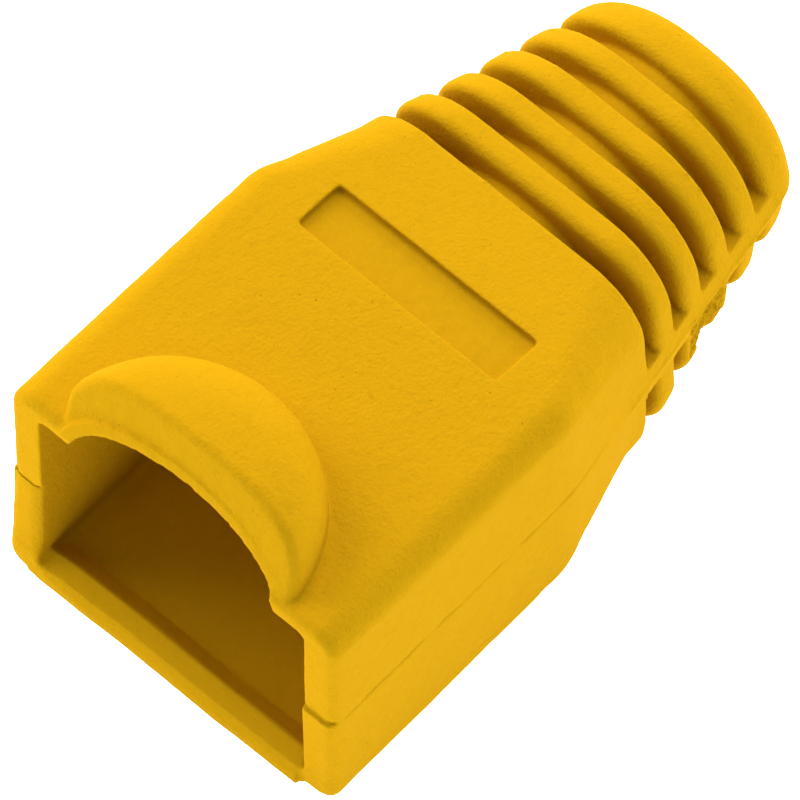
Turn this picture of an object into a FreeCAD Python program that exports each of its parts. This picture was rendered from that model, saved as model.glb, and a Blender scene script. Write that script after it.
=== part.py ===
"""Strain relief boot for a modular network plug, moulded in one piece of soft PVC.

Millimetres. X runs from the plug mouth to the cable end, Z is up, and the boot
stands on its flat underside. The origin is the centre of its bounding box, on
the plane that it stands on.
"""
import FreeCAD, Part
import os
from math import atan2, cos, degrees, pi, radians, sin, tan

# Body, from the plug mouth to where the taper starts
mouth_width = 11.85
mouth_wall = 1.35
body_height = 11.2
body_length = 11.7
body_draft_deg = 0.45
sole_depth = 0.02
top_wall = 0.8
floor_wall = 0.8
cavity_length = 11.0
cavity_corner_radius = 0.35
top_edge_radius = 1.1
bottom_edge_radius = 0.8

# Mould halves: the lower half stands a little proud of the upper at the mouth
parting_height = 5.65
mouth_step = 0.15
mouth_edge_radius = 0.4
lip_proud = 0.25
lip_side_gap = 0.16

# Ridge across the floor that snaps behind the plug, its ramp and its back slope
ridge_height = 0.45
ridge_ramp = 0.86
ridge_back = 0.69
ridge_foot_height = 0.15

# Tapered tail, from the rounded rectangle of the body to the round cable end
tail_length = 14.55
tail_end_width = 9.3
tail_end_height = 8.8
tail_end_base = 0.9
tail_shoulder_radius = 2.5
tail_lean_deg = 15.0
kink_blend = 1.5
end_edge_radius = 1.2

# Ribs and the grooves between them, and the solid spine along each side
groove_count = 5
groove_width = 0.7
plain_taper = 4.87
end_ring_length = 2.06
core_front_radius = 4.35
core_end_radius = 3.95
spine_half_height = 0.85
spine_inset = 0.02
rib_front_radius = 0.42
rib_rear_radius = 0.1

# Cable passage
cable_bore = 6.2
funnel_length = 3.0
bore_edge_radius = 0.3

# Label recess on the top face
label_length = 8.85
label_width = 2.06
label_depth = 0.35
label_ahead = 0.74
label_corner_radius = 0.15

# Hood over the latch of the plug, open at the front
hood_radius = 5.16
hood_height = 3.46
hood_setback = 0.04
hood_roundness = 3.2
hood_lean_deg = 16.7
hood_front_radius = 0.35
hood_rim_thickness = 0.4
hood_rim_height = 0.5
hood_rim_proud = 0.22
arch_half_width = 4.55
arch_height = 2.6
arch_sink = 0.2

# Torn-off injection gate on the right-hand side, under the parting plane
gate_length = 2.1
gate_setback = 0.41
gate_low = 3.0
gate_high = 5.4
gate_depth = 0.15


# Places that follow from the sizes above, measured from the foremost edge
lower_mouth_x = lip_proud
upper_mouth_x = lip_proud + mouth_step
taper_x = upper_mouth_x + body_length
end_x = taper_x + tail_length
mouth_half_width = mouth_width / 2
outer_half_width = mouth_half_width + mouth_wall
ceiling_height = body_height - top_wall
axis_height = tail_end_base + tail_end_height / 2
bore_radius = cable_bore / 2
arch_base = ceiling_height - arch_sink
hood_x = upper_mouth_x + hood_setback
lean = tan(radians(hood_lean_deg))
first_groove = taper_x + plain_taper
rib_pitch = (end_x - end_ring_length - groove_width - first_groove) / (groove_count - 1)
gate_start = first_groove + rib_pitch + groove_width + gate_setback
label_start = taper_x - label_ahead
overall_length = end_x
beyond = 5.0


def blend(x, start, slope, width):
    """Height gained after a bend at start, with the corner rounded over width each way."""
    if x <= start - width:
        return 0.0
    if x >= start + width:
        return slope * (x - start)
    return slope * (x - start + width) ** 2 / (4 * width)


def half_width_at(x):
    """Half of the outer width at distance x from the front, where the mould halves meet."""
    draft = tan(radians(body_draft_deg))
    at_taper = outer_half_width - taper_x * draft
    taper = (at_taper - tail_end_width / 2) / tail_length
    return outer_half_width - x * draft - blend(x, taper_x, taper - draft, kink_blend * 0.5)


def lean_at(x):
    """How far the sides lean in above and below the parting plane, as an angle."""
    return radians(tail_lean_deg) * max(x - taper_x, 0.0) / tail_length


def top_at(x):
    """Height of the top face at distance x from the front."""
    drop = (body_height - tail_end_base - tail_end_height) / tail_length
    return body_height - blend(x, taper_x, drop, kink_blend)


def base_at(x):
    """Height of the rounded underside at distance x, before its flat sole is cut."""
    return blend(x, taper_x, tail_end_base / tail_length, kink_blend) - sole_depth


def shoulder_at(x, body_radius):
    """Corner radius at distance x: small on the body, nearly a full round at the end."""
    full = min(tail_end_width, tail_end_height) / 2 - 0.15
    if x <= taper_x:
        return body_radius
    along = (x - taper_x) / tail_length
    bulge = tail_shoulder_radius - (body_radius + (full - body_radius) / 3)
    return body_radius + (full - body_radius) * along + bulge * sin(pi * along)


def rounded_section(x, half_width, base, top, top_radius, base_radius, waist=None, lean=0.0):
    """Closed wire across X with four rounded corners; its sides lean in from a waist."""
    def corner(y_sign, z, radius, up):
        """Three points on one corner arc, from the side to the top or base."""
        centre_z = z - up * radius
        from_waist = up * (centre_z - (waist or 0))
        centre_y = half_width - from_waist * tan(lean) - radius / cos(lean)
        return [FreeCAD.Vector(x, y_sign * (centre_y + radius * cos(turn)),
                               centre_z + up * radius * sin(turn))
                for turn in even(lean, pi / 2, 2)]

    def flank(start, y_sign, end):
        """Side of the section: one line, or two that meet at the waist."""
        if waist is None:
            return [Part.LineSegment(start, end).toShape()]
        middle = FreeCAD.Vector(x, y_sign * half_width, waist)
        return [Part.LineSegment(start, middle).toShape(), Part.LineSegment(middle, end).toShape()]

    left_top = corner(1, top, top_radius, 1)
    right_top = corner(-1, top, top_radius, 1)
    right_base = corner(-1, base, base_radius, -1)
    left_base = corner(1, base, base_radius, -1)
    return Part.Wire([
        Part.Arc(*left_top).toShape(),
        Part.LineSegment(left_top[2], right_top[2]).toShape(),
        Part.Arc(*reversed(right_top)).toShape(),
        *flank(right_top[0], -1, right_base[0]),
        Part.Arc(*right_base).toShape(),
        Part.LineSegment(right_base[2], left_base[2]).toShape(),
        Part.Arc(*reversed(left_base)).toShape(),
        *flank(left_base[0], 1, left_top[0]),
    ])


def outer_section(x, inset=0.0):
    """Outline of the whole boot without its grooves, drawn in all round by inset."""
    return rounded_section(x, half_width_at(x) - inset, base_at(x) + inset, top_at(x) - inset,
                           shoulder_at(x, top_edge_radius) - inset,
                           shoulder_at(x, bottom_edge_radius) - inset,
                           parting_height, lean_at(x))


def even(start, end, spans):
    """Evenly spaced places from start to end."""
    return [start + (end - start) * step / spans for step in range(spans + 1)]


def loft(sections, ruled=False):
    """Solid through the section wires, in order."""
    return Part.makeLoft(sections, True, ruled)


def block(x, y, z):
    """Box from three pairs of limits."""
    size = [high - low for low, high in (x, y, z)]
    return Part.makeBox(*size, FreeCAD.Vector(x[0], y[0], z[0]))


def rim_sections(edge_x, radius, inward):
    """Outlines that round a rim: drawn in at its end face, and full a radius behind it."""
    sections = []
    for turn in even(0, pi / 2, 2 + round(4 * radius)):
        depth = radius * (1 - cos(turn))
        sections.append(outer_section(edge_x + inward * depth, radius * (1 - sin(turn))))
    return sections


def ring(start, end, front_radius, rear_radius):
    """One rib, or the end ring: a slice of the outside with both rims rounded."""
    front = rim_sections(start, front_radius, 1)
    rear = rim_sections(end, rear_radius, -1)
    return loft(front + rear[::-1], True)


def mould_half(front_x, back_x, low, high):
    """One mould's half of the straight body, from low to high, with its front edge rounded."""
    whole = loft(rim_sections(front_x, mouth_edge_radius, 1) + [outer_section(back_x)], True)
    reach = outer_half_width + beyond
    return whole.common(block((0, back_x), (-reach, reach), (low, high)))


def front_body():
    """Straight body, rounded bend and the start of the taper, up to the first groove."""
    bend_x = taper_x - kink_blend
    tail_x = taper_x + kink_blend
    lower = mould_half(lower_mouth_x, bend_x, 0, parting_height)
    upper = mould_half(upper_mouth_x, bend_x, parting_height, body_height + 1)
    bend = loft([outer_section(x) for x in even(bend_x, tail_x, 4)])
    taper = [outer_section(x) for x in even(tail_x, first_groove - rib_rear_radius, 3)[:-1]]
    rear = rim_sections(first_groove, rib_rear_radius, -1)
    return lower.multiFuse([upper, bend, loft(taper + rear[::-1], True)])


def core_section(x, radius):
    """Circle of the tube inside the ribs, half way up the tail."""
    centre = FreeCAD.Vector(x, 0, (top_at(x) + base_at(x)) / 2)
    return Part.Wire(Part.Circle(centre, FreeCAD.Vector(1, 0, 0), radius).toShape())


def ribbed_tail():
    """Ribs and end ring on a slim tube, joined along each side by a solid spine."""
    core = loft([core_section(first_groove - 0.5, core_front_radius),
                 core_section(end_x - end_edge_radius, core_end_radius)], True)
    starts = [first_groove + rib_pitch * number + groove_width for number in range(groove_count)]
    ribs = [ring(start, start + rib_pitch - groove_width, rib_front_radius, rib_rear_radius)
            for start in starts[:-1]]
    ribs.append(ring(starts[-1], end_x, rib_front_radius, end_edge_radius))
    reach = outer_half_width + beyond
    side = block((0, end_x), (-reach, reach), (parting_height - spine_half_height,
                                               parting_height + spine_half_height))
    spine_ends = even(first_groove - 0.5, starts[-1] + rib_front_radius, 4)
    spine = loft([outer_section(x, spine_inset) for x in spine_ends]).common(side)
    return core.multiFuse(ribs + [spine])


def superellipse(radius, height, power, centre_x, base):
    """Solid of revolution about a vertical line: steep sides and a soft crown."""
    points = []
    for turn in even(0, pi / 2, 8):
        out = radius * cos(turn) ** (2 / power)
        up = height * sin(turn) ** (2 / power)
        points.append(FreeCAD.Vector(centre_x + out, 0, base + up))
    points[-1] = FreeCAD.Vector(centre_x, 0, base + height)
    curve = Part.BSplineCurve()
    curve.interpolate(points, InitialTangent=FreeCAD.Vector(0, 0, 1),
                      FinalTangent=FreeCAD.Vector(-1, 0, 0))
    foot = FreeCAD.Vector(centre_x, 0, base)
    outline = Part.Wire([curve.toShape(), Part.LineSegment(points[-1], foot).toShape(),
                         Part.LineSegment(foot, points[0]).toShape()])
    return Part.Face(outline).revolve(foot, FreeCAD.Vector(0, 0, 1), 360)


def behind_lean(forward):
    """Everything behind the leaning front plane of the hood, moved forward a little."""
    low = -beyond
    high = body_height + 2 * beyond
    foot = upper_mouth_x - forward
    far = end_x + beyond
    corners = [(foot + lean * (low - ceiling_height), low), (far, low), (far, high),
               (foot + lean * (high - ceiling_height), high)]
    return prism(corners)


def prism(corners):
    """Solid across the boot from corners given as distance and height."""
    reach = outer_half_width + beyond
    points = [FreeCAD.Vector(x, -reach, z) for x, z in corners]
    face = Part.Face(Part.makePolygon(points + points[:1]))
    return face.extrude(FreeCAD.Vector(0, 2 * reach, 0))


def hood_dome():
    """Half-moon hood on the top face, with a rolled front edge."""
    base = body_height - top_wall / 2
    height = hood_height + top_wall / 2
    dome = superellipse(hood_radius, height, hood_roundness, hood_x, base)
    dome = dome.common(behind_lean(0))
    front = [edge for edge in dome.Edges
             if abs(distance_to_lean(edge)) < 0.001 and edge.BoundBox.ZMax > body_height + 1]
    return dome.makeFillet(hood_front_radius, front)


def distance_to_lean(edge):
    """How far the middle of an edge lies behind the leaning plane, along X."""
    middle = edge.valueAt((edge.FirstParameter + edge.LastParameter) / 2)
    return middle.x - upper_mouth_x - lean * (middle.z - ceiling_height)


def arch_hollow(grow=0.0):
    """Rounded space under the hood, wider all round by grow."""
    return superellipse(arch_half_width + grow, arch_height + grow, 2, upper_mouth_x, arch_base)


def hood_rim():
    """Thin rim round the front of the arch, which fades out towards the right-hand side."""
    band = behind_lean(hood_rim_proud).cut(behind_lean(hood_rim_proud - hood_rim_thickness))
    pivot = FreeCAD.Vector(upper_mouth_x, hood_radius, 0)
    fade = degrees(atan2(hood_rim_proud, 2 * hood_radius))
    band.rotate(pivot, FreeCAD.Vector(0, 0, 1), fade)
    low = ceiling_height + top_wall / 2
    keep = block((0, end_x), (-hood_radius, hood_radius), (low, body_height + beyond))
    return arch_hollow(hood_rim_height).common(band).common(keep)


def cavity():
    """Room for the plug, a funnel behind it and the bore for the cable."""
    def opening(x):
        return rounded_section(x, mouth_half_width, floor_wall, ceiling_height,
                               cavity_corner_radius, cavity_corner_radius)

    plug_room = loft([opening(-1), opening(cavity_length)], True)
    funnel_end = cavity_length + funnel_length
    narrow = rounded_section(funnel_end, bore_radius, axis_height - bore_radius,
                             axis_height + bore_radius, bore_radius - 0.05, bore_radius - 0.05)
    funnel = loft([opening(cavity_length), narrow], True)
    along = FreeCAD.Vector(1, 0, 0)
    bore = Part.makeCylinder(bore_radius, end_x - funnel_end + beyond,
                             FreeCAD.Vector(funnel_end - 0.05, 0, axis_height), along)
    rim = FreeCAD.Vector(end_x - bore_edge_radius, 0, axis_height)
    flare = Part.makeCone(bore_radius, bore_radius + 2 * bore_edge_radius,
                          2 * bore_edge_radius, rim, along)
    return plug_room.multiFuse([funnel, bore, flare])


def ridge_corners():
    """Outline of the floor ridge as distances and heights, its foot proud of the mouth."""
    top = floor_wall + ridge_height
    back = ridge_ramp + ridge_back
    foot = lower_mouth_x - lip_proud
    return [(foot, ridge_foot_height), (ridge_ramp, top), (back, floor_wall),
            (back, floor_wall / 2), (ridge_ramp, 0), (foot + 0.1, 0)]


def floor_ridge():
    """Wedge across the floor at the mouth; its lip stands proud and ends short on the right."""
    ridge = prism(ridge_corners())
    inside = block((-1, cavity_length), (-mouth_half_width, mouth_half_width), (-1, body_height))
    lip_end = lip_side_gap - mouth_half_width
    beside = block((-1, lower_mouth_x), (-outer_half_width, lip_end), (-1, body_height))
    return ridge.common(inside).cut(beside)


def label_recess():
    """Shallow slot in the top face, with its floor parallel to the face."""
    end = label_start + label_width
    high = body_height + 1
    corners = [(label_start, top_at(label_start) - label_depth), (end, top_at(end) - label_depth),
               (end, high), (label_start, high)]
    across = block((0, end_x), (-label_length / 2, label_length / 2), (0, high))
    slot = prism(corners).common(across)
    upright = [edge for edge in slot.Edges if edge.BoundBox.ZLength > label_depth + 0.5]
    return slot.makeFillet(label_corner_radius, upright)


def gate_mark():
    """Flat patch left where the gate tore off, bridging the grooves under the spine."""
    end = gate_start + gate_length
    inner = loft([outer_section(x, gate_depth) for x in even(gate_start, end, 2)])
    patch = block((gate_start, end), (-outer_half_width, -core_end_radius), (gate_low, gate_high))
    return inner.common(patch)


def boot():
    """The whole boot in one solid."""
    body = front_body().fuse(ribbed_tail())
    sole = block((0, end_x), (-outer_half_width, outer_half_width), (-1, 0))
    body = body.cut(sole)
    body = body.multiFuse([hood_dome(), gate_mark()])
    body = body.cut([cavity(), arch_hollow(), label_recess()])
    rim = hood_rim().cut(arch_hollow())
    body = body.multiFuse([rim, floor_ridge()]).removeSplitter()
    body.translate(FreeCAD.Vector(-overall_length / 2, 0, 0))
    return body.Solids[0]


os.makedirs("parts", exist_ok=True)
boot_shape = boot()
boot_shape.exportStep("parts/boot.step")
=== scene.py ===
"""Strain relief boot for a modular plug: a soft yellow PVC moulding on a pale studio table.

The scene is in metres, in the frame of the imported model: X from the mouth to the cable end,
Y across, Z up, the boot standing on z = 0. The moulding's own sizes are in millimetres.
"""
import random
from math import cos, exp, radians, sin

import bmesh
import bpy
from mathutils import Matrix, Quaternion, Vector, bvhtree, noise


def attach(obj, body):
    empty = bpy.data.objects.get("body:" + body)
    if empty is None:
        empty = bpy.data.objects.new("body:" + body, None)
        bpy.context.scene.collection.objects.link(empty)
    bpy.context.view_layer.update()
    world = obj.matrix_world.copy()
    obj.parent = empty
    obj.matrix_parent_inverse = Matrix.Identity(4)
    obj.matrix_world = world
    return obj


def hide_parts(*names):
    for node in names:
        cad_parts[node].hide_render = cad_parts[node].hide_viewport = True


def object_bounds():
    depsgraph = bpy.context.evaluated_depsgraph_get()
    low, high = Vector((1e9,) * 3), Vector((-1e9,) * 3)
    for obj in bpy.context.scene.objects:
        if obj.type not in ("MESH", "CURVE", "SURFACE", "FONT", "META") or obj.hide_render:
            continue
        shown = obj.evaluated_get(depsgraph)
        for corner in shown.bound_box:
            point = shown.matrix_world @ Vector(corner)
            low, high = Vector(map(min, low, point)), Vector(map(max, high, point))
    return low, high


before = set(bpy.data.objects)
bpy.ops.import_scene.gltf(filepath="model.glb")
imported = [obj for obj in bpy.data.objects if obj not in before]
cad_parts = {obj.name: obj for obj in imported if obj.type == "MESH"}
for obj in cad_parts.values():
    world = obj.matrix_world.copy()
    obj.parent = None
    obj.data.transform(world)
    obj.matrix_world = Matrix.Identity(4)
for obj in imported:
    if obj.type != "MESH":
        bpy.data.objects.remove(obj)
cad_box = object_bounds()
mm = 0.001


# The camera. A long lens looks down at the mouth from the front right, as in a catalogue
# photograph, and is rolled by under half a degree.
azimuth = radians(-48.0)
elevation = radians(61.1)
backwards = Vector((sin(azimuth) * cos(elevation), -cos(azimuth) * cos(elevation),
                    sin(elevation)))
camera = bpy.data.objects.new("camera", bpy.data.cameras.new("camera"))
camera.data.sensor_width = 36.0
camera.data.lens = 513.0
camera.location = (-138.785 * mm, -123.39 * mm, 338.18 * mm)
camera.rotation_mode = "QUATERNION"
camera.rotation_quaternion = (Quaternion(backwards, radians(0.45))
                              @ (-backwards).to_track_quat("-Z", "Y"))
bpy.context.scene.collection.objects.link(camera)
bpy.context.scene.camera = camera


# The studio. A white table, lit from below as on a light table, under a soft tent with one
# large lamp overhead and lower ones before the mouth, behind the tail and on both sides.
def add_object(name, data):
    """Put new data in the scene as an object at the origin."""
    made = bpy.data.objects.new(name, data)
    bpy.context.scene.collection.objects.link(made)
    return made


def add_panel(name, direction, distance, size, power):
    """A square soft light that looks at the boot from a direction, a little warm."""
    light = bpy.data.lights.new(name, "AREA")
    light.size = size
    light.energy = power
    light.color = (1.0, 0.94, 0.90)
    panel = add_object(name, light)
    panel.location = Vector(direction).normalized() * distance
    panel.rotation_euler = (-panel.location).to_track_quat("-Z", "Y").to_euler()


add_panel("panel_left", (-0.2, 1.0, 0.7), 0.35, 0.30, 1.40)
add_panel("panel_right", (0.8, -0.9, 0.4), 0.35, 0.30, 0.62)
add_panel("panel_front", (-1.0, 0.1, 0.25), 0.40, 0.16, 0.35)
add_panel("panel_rear", (1.0, 0.3, 0.5), 0.40, 0.20, 0.85)
add_panel("panel_over", (0.32, 0.1, 1.0), 0.45, 0.30, 1.72)

tent = bpy.data.worlds.new("tent")
tent.use_nodes = True
tent.node_tree.nodes["Background"].inputs["Color"].default_value = (0.52, 1.0, 1.0, 1.0)
tent.node_tree.nodes["Background"].inputs["Strength"].default_value = 0.35
bpy.context.scene.world = tent
bpy.context.scene.view_settings.view_transform = "Standard"

table_mesh = bpy.data.meshes.new("table")
table_form = bmesh.new()
bmesh.ops.create_grid(table_form, x_segments=1, y_segments=1, size=1.5)
bmesh.ops.translate(table_form, vec=(0.0, 0.0, -0.02 * mm), verts=table_form.verts)
table_form.to_mesh(table_mesh)
table_form.free()
table = add_object("table", table_mesh)
table_white = bpy.data.materials.new("table_white")
table_white.use_nodes = True
white_shader = table_white.node_tree.nodes["Principled BSDF"]
white_shader.inputs["Base Color"].default_value = (0.93, 0.93, 0.93, 1.0)
white_shader.inputs["Roughness"].default_value = 0.9
white_shader.inputs["Emission Color"].default_value = (0.95, 1.0, 1.0, 1.0)
white_shader.inputs["Emission Strength"].default_value = 1.65
table.data.materials.append(table_white)


# The moulding. The boot comes out of the mould in one shot of soft PVC, so its edges are all
# a little round. The merged shape is remeshed finely with the burrs that cling to its edges,
# and relaxed, which melts the corners. All of this section counts in millimetres.
skin_voxel = 0.06
skin_triangles = 190000
merge_distance = 0.0005
relax_passes = 3
lowest, highest = (Vector(corner) / mm for corner in cad_box)
parting_z = 5.65
mouth_half_width = 5.925
rib_edges = [3.645 + 1.73 * count for count in range(5)]
tail_axis_z = 5.4
gate = ((6.485, 8.585), (3.0, 5.4))
burrs_per_rib = 14
lip_round = [(0.03, 0.15), (0.07, 0.42), (0.26, 0.85), (0.86, 1.25), (0.86, 0.5), (0.2, 0.1)]
lip_corner = [(0.22, 0.06), (0.22, 0.5), (0.4, 0.9), (0.7, 0.9), (0.7, 0.06)]
torn_threads = [([(5.55, -5.75, 5.35), (5.85, -5.80, 5.25), (6.05, -5.85, 5.38)], 0.05),
                ([(6.60, -5.62, 5.15), (6.75, -5.72, 4.95), (6.95, -5.70, 4.85)], 0.055)]


def finished(form, name, modifiers):
    """The mesh of a form after its modifiers, which are dropped."""
    draft = bpy.data.meshes.new(name)
    form.to_mesh(draft)
    form.free()
    holder = add_object(name, draft)
    for kind, settings in modifiers:
        modifier = holder.modifiers.new(kind.lower(), kind)
        for setting, value in settings.items():
            setattr(modifier, setting, value)
    depsgraph = bpy.context.evaluated_depsgraph_get()
    done = bpy.data.meshes.new_from_object(holder.evaluated_get(depsgraph))
    bpy.data.objects.remove(holder)
    bpy.data.meshes.remove(draft)
    return done


def add_burr(form, centre, radius, stretch=(1.0, 1.0, 1.0)):
    """A speck of flash: a small ball, drawn out along the axes, sunk in the surface."""
    shape = Matrix.Translation(centre) @ Matrix.Diagonal((*stretch, 1.0))
    bmesh.ops.create_icosphere(form, subdivisions=2, radius=radius, matrix=shape)


def add_rib_burrs(form, chance):
    """Specks of flash along the rear edges of the ribs, where the mould halves pulled off."""
    surface = bvhtree.BVHTree.FromBMesh(form)
    for edge_x in rib_edges:
        for _ in range(burrs_per_rib):
            angle = radians(chance.uniform(-5.0, 185.0))
            outwards = Vector((0.0, cos(angle), sin(angle)))
            start = Vector((edge_x - 0.06, 0.0, tail_axis_z)) + 12.0 * outwards
            found = surface.ray_cast(start, -outwards)[0]
            add_burr(form, found, chance.uniform(0.045, 0.08),
                     (0.7, chance.uniform(0.7, 1.5), chance.uniform(0.7, 1.5)))


def add_fillet(form, section, start_y, end_y):
    """A bar across the mouth that fills a crease, with its section as lengths and heights."""
    corners = [form.verts.new((lowest.x + along, start_y, up)) for along, up in section]
    end = form.faces.new(corners)
    drawn = bmesh.ops.extrude_face_region(form, geom=[end])["geom"]
    across = [part for part in drawn if isinstance(part, bmesh.types.BMVert)]
    bmesh.ops.translate(form, vec=(0.0, end_y - start_y, 0.0), verts=across)
    bmesh.ops.recalc_face_normals(form, faces=list({face for vert in corners + across
                                                    for face in vert.link_faces}))


def add_strand(form, points, radius):
    """A torn thread of PVC, as a row of specks that melt together."""
    for start, end in zip(points, points[1:]):
        for share in (0.0, 0.25, 0.5, 0.75, 1.0):
            add_burr(form, Vector(start).lerp(Vector(end), share), radius)


def swell(distance, width):
    """A smooth hump: one in the middle, and nearly nothing two widths away."""
    return exp(-(distance / width) ** 2)


def rise(value, start, end):
    """Nought at start, one at end, and a straight climb between them."""
    return min(max((value - start) / (end - start), 0.0), 1.0)


def seam(place, normal):
    """The seam of the two mould halves: a hairline on the body, a thin bead on the ribs."""
    wander = 0.05 * noise.noise(Vector((0.9 * place.x, 3.0, 0.0)))
    broken = 0.7 + 0.9 * noise.noise(Vector((1.3 * place.x, 9.0, place.y)))
    hairline = -0.06 * swell(place.z - parting_z, 0.08) * rise(place.x, 1.8, 0.6) * broken
    on_ribs = rise(place.x, 2.2, 3.0) * rise(place.x, 12.6, 11.4)
    bead = 0.06 * broken * swell(place.z - parting_z - wander, 0.08) * on_ribs
    return (hairline + bead) * abs(normal.y)


def torn_gate(place):
    """How far the torn face of the gate stands out or in at a place on its patch."""
    (low_x, high_x), (low_z, high_z) = gate
    ragged = 0.12 * noise.noise(place * 2.3)
    inside = (rise(place.x, low_x - 0.15 + ragged, low_x + 0.1 + ragged)
              * rise(place.x, high_x + 0.15 + ragged, high_x - 0.1 + ragged)
              * rise(place.z, low_z - 0.15 + ragged, low_z + 0.1 + ragged)
              * rise(place.z, high_z + 0.05 + ragged, high_z - 0.15 + ragged))
    return inside * (0.12 * noise.noise(place * 1.7) + 0.11 * noise.noise(place * 5.3)
                     + 0.06 * noise.noise(place * 11.0) - 0.13)


def mouth_step(place):
    """The front faces beside the mouth: a notch at the seam, and on the left a soft slope."""
    notch = -0.04 * swell(place.z - parting_z - 0.05, 0.09)
    if place.y < 0.0:
        return notch
    from_inside = abs(place.y) - mouth_half_width
    slope_height = 0.1 + 1.9 * max(from_inside, 0.0)
    slope = 0.13 * rise(place.z, parting_z - slope_height, parting_z)
    return notch - slope * rise(place.z, parting_z + 0.05, parting_z)


def surface_offset(place, normal):
    """How far the moulded surface lies off the true one, along its normal."""
    offset = 0.020 * noise.noise(place * 0.55) + 0.008 * noise.noise(place * 2.4)
    from_front = place.x - lowest.x
    outside = place.y * normal.y > 0.0
    if outside and abs(place.z - parting_z) < 0.3:
        offset += seam(place, normal)
    if outside and place.y < -3.5 and 6.0 < place.x < 8.9 and 2.7 < place.z < 5.7:
        offset += torn_gate(place)
    if from_front < 0.9 and normal.x < -0.5 and abs(place.y) > mouth_half_width - 0.1:
        offset += mouth_step(place)
    if from_front < 2.2 and place.z > 10.9 and abs(place.y) < 5.2:
        offset += 0.02 * noise.noise(place * 1.9)
    on_lip = from_front < 1.7 and place.z < 1.6 and abs(place.y) < mouth_half_width
    if on_lip and normal.z > 0.3:
        offset += 0.006 * noise.noise(Vector((9.0 * place.x, 0.25 * place.y, 0.0)))
    return offset


def settle(place):
    """How far the soft boot has come out of true as it cooled: the left foot of the mouth
    forward and the right one back, and the ribs and the hood a little fuller on the left."""
    near_front = rise(place.x, lowest.x + 3.5, lowest.x + 0.4)
    low = rise(place.z, parting_z, 1.5)
    left = rise(place.y, 2.0, 6.8)
    right = rise(place.y, -2.0, -6.8)
    foot = rise(place.y, 5.2, 6.0) * rise(place.z, 2.4, 1.0)
    forward = near_front * low * (0.10 * right - 0.15 * left - 0.12 * foot)
    round_edge = rise(place.y, 6.4, mouth_half_width) ** 2 * rise(place.y, 5.5, 5.8)
    forward += (0.22 * round_edge * rise(place.x, lowest.x + 1.0, lowest.x + 0.3)
                * rise(place.z, 1.2, 1.8) * rise(place.z, parting_z + 0.05, parting_z - 0.05))
    fuller_low = 0.055 * place.y * rise(place.z, 5.0, 3.2)
    fuller_left = 0.12 * rise(place.y, 1.0, 4.0) * rise(place.z, parting_z, 7.0)
    hood = rise(place.z, 11.3, 12.4) * rise(place.x, 1.0, -2.0) * rise(place.y, 0.0, 3.0)
    sideways = rise(place.x, 2.8, 4.2) * (fuller_low + fuller_left) + 0.13 * hood
    return Vector((forward, sideways, 0.0))


skin = bmesh.new()
skin.from_mesh(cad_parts["boot"].data)
bmesh.ops.scale(skin, vec=(1000.0,) * 3, verts=skin.verts)
bmesh.ops.remove_doubles(skin, verts=skin.verts, dist=merge_distance)
add_rib_burrs(skin, random.Random(11))
add_fillet(skin, lip_round, -5.76, mouth_half_width)
add_fillet(skin, lip_corner, 5.5, 6.35)
for points, radius in torn_threads:
    add_strand(skin, points, radius)

voxels = {"mode": "VOXEL", "voxel_size": skin_voxel}
remeshed = finished(skin, "skin_remesh", [("REMESH", voxels)])
skin = bmesh.new()
skin.from_mesh(remeshed)
for _ in range(relax_passes):
    bmesh.ops.smooth_vert(skin, verts=skin.verts, factor=0.5, use_axis_x=True,
                          use_axis_y=True, use_axis_z=True)
skin.normal_update()
for vertex in skin.verts:
    vertex.co += vertex.normal * surface_offset(vertex.co, vertex.normal)
    vertex.co += settle(vertex.co)
share = skin_triangles / (2 * len(skin.faces))
relaxed = finished(skin, "skin_relax", [("TRIANGULATE", {}), ("DECIMATE", {"ratio": share})])
skin = bmesh.new()
skin.from_mesh(relaxed)
for vertex in skin.verts:
    vertex.co = [min(max(value, low), high)
                 for value, low, high in zip(vertex.co, lowest, highest)]
bmesh.ops.scale(skin, vec=(mm,) * 3, verts=skin.verts)
for face in skin.faces:
    face.smooth = True
boot_mesh = bpy.data.meshes.new("boot_moulding")
skin.to_mesh(boot_mesh)
skin.free()
boot = add_object("boot_moulding", boot_mesh)


# The soft PVC: a saturated warm yellow that the spark-eroded mould leaves matt, with a fine
# even grain and a few pinholes, whose shade is painted into the colour as dark dots. The label
# slot and the room for the plug are smoother, the label slot's recess also has painted shade
# that makes it a little darker, and the torn gate is rougher and darker.
class Shade:
    """A number or colour that varies over the surface, so that formulas read as formulas."""

    def __init__(self, tree, socket):
        self.tree = tree
        self.socket = socket

    def make(self, kind, settings, inputs, output=0):
        """Add a node: its settings first, then a value or a link for each socket."""
        node = self.tree.nodes.new(kind)
        for name, value in settings.items():
            setattr(node, name, value)
        for name, value in inputs.items():
            if isinstance(value, Shade):
                self.tree.links.new(value.socket, node.inputs[name])
            else:
                node.inputs[name].default_value = value
        return Shade(self.tree, node.outputs[output])

    def math(self, operation, *values):
        return self.make("ShaderNodeMath", {"operation": operation},
                         dict(enumerate((self,) + values)))

    def __add__(self, other):
        return self.math("ADD", other)

    def __sub__(self, other):
        return self.math("SUBTRACT", other)

    def __mul__(self, other):
        return self.math("MULTIPLY", other)

    def __rsub__(self, other):
        return self * -1.0 + other

    __radd__ = __add__
    __rmul__ = __mul__


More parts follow.
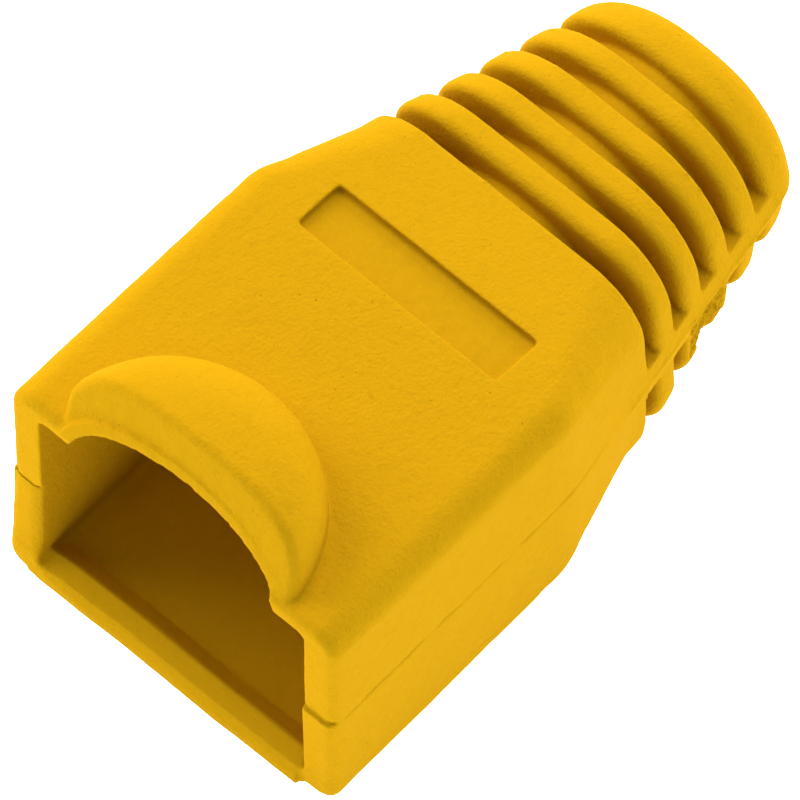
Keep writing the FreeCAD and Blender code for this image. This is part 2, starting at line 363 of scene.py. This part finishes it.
pvc = bpy.data.materials.new("boot_pvc")
pvc.use_nodes = True
pvc_shader = pvc.node_tree.nodes["Principled BSDF"]
pvc_shader.inputs["Specular IOR Level"].default_value = 0.001
pvc_yellow = (0.45, 0.227, 0.0033, 1.0)
grain_depth = 0.022 * mm
place = Shade(pvc.node_tree, pvc.node_tree.nodes.new("ShaderNodeTexCoord").outputs["Object"])


def grain(scale):
    """Even noise with features of 1 / scale metres, between about 0.3 and 0.7."""
    return place.make("ShaderNodeTexNoise", {}, {"Vector": place, "Scale": scale,
                                                 "Detail": 2.0, "Roughness": 0.6})


def within(*ranges):
    """One inside a box, given as the ranges of X, Y and Z in millimetres, and nought outside."""
    inside = 1.0
    for axis, (low, high) in enumerate(ranges):
        along = place.make("ShaderNodeSeparateXYZ", {}, {0: place}, axis)
        inside = inside * along.math("COMPARE", (low + high) / 2 * mm, (high - low) / 2 * mm)
    return inside


fine = grain(8000.0)
soft = grain(2600.0)
broad = grain(260.0)
cells = place.make("ShaderNodeTexVoronoi", {}, {"Vector": place, "Scale": 1400.0})
# Pinholes: pits in the bump, and painted shade that darkens them in the colour.
pinholes_and_pit_shade = (0.045 - cells).math("MULTIPLY", 60.0).math("MINIMUM", 1.0).math("MAXIMUM", 0.0)
# The label slot: its grain is calmed, and painted shade makes its recess a little darker in the
# colour.
in_label = within((-1.965, 0.095), (-4.425, 4.425), (9.5, 12.0))
in_room = within((-13.1, -2.0), (-5.87, 5.87), (0.0, 10.35))
in_gate = within(gate[0], (-8.0, -3.5), gate[1])
calm = 1.0 - 0.6 * in_label - 0.6 * in_room + 0.8 * in_gate
# The colour factor: even grain, painted shade in the pinholes and in the label slot's recess,
# and the torn gate's darker tone.
shade = (0.82 + 0.14 * fine + 0.16 * soft + 0.06 * broad - 0.18 * pinholes_and_pit_shade - 0.07 * in_label
         - 0.13 * in_gate)
tone = place.make("ShaderNodeMix", {"data_type": "RGBA"},
                  {"Factor": shade, 6: (0.0, 0.0, 0.0, 1.0), 7: pvc_yellow}, 2)
relief = place.make("ShaderNodeBump", {}, {"Height": calm * (1.7 * fine + 1.3 * soft - pinholes_and_pit_shade),
                                           "Distance": grain_depth, "Strength": 1.0})
pvc.node_tree.links.new(tone.socket, pvc_shader.inputs["Base Color"])
pvc.node_tree.links.new((0.52 + 0.16 * fine).socket, pvc_shader.inputs["Roughness"])
pvc.node_tree.links.new(relief.socket, pvc_shader.inputs["Normal"])
boot.data.materials.clear()
boot.data.materials.append(pvc)
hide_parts("boot")
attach(boot, "root")
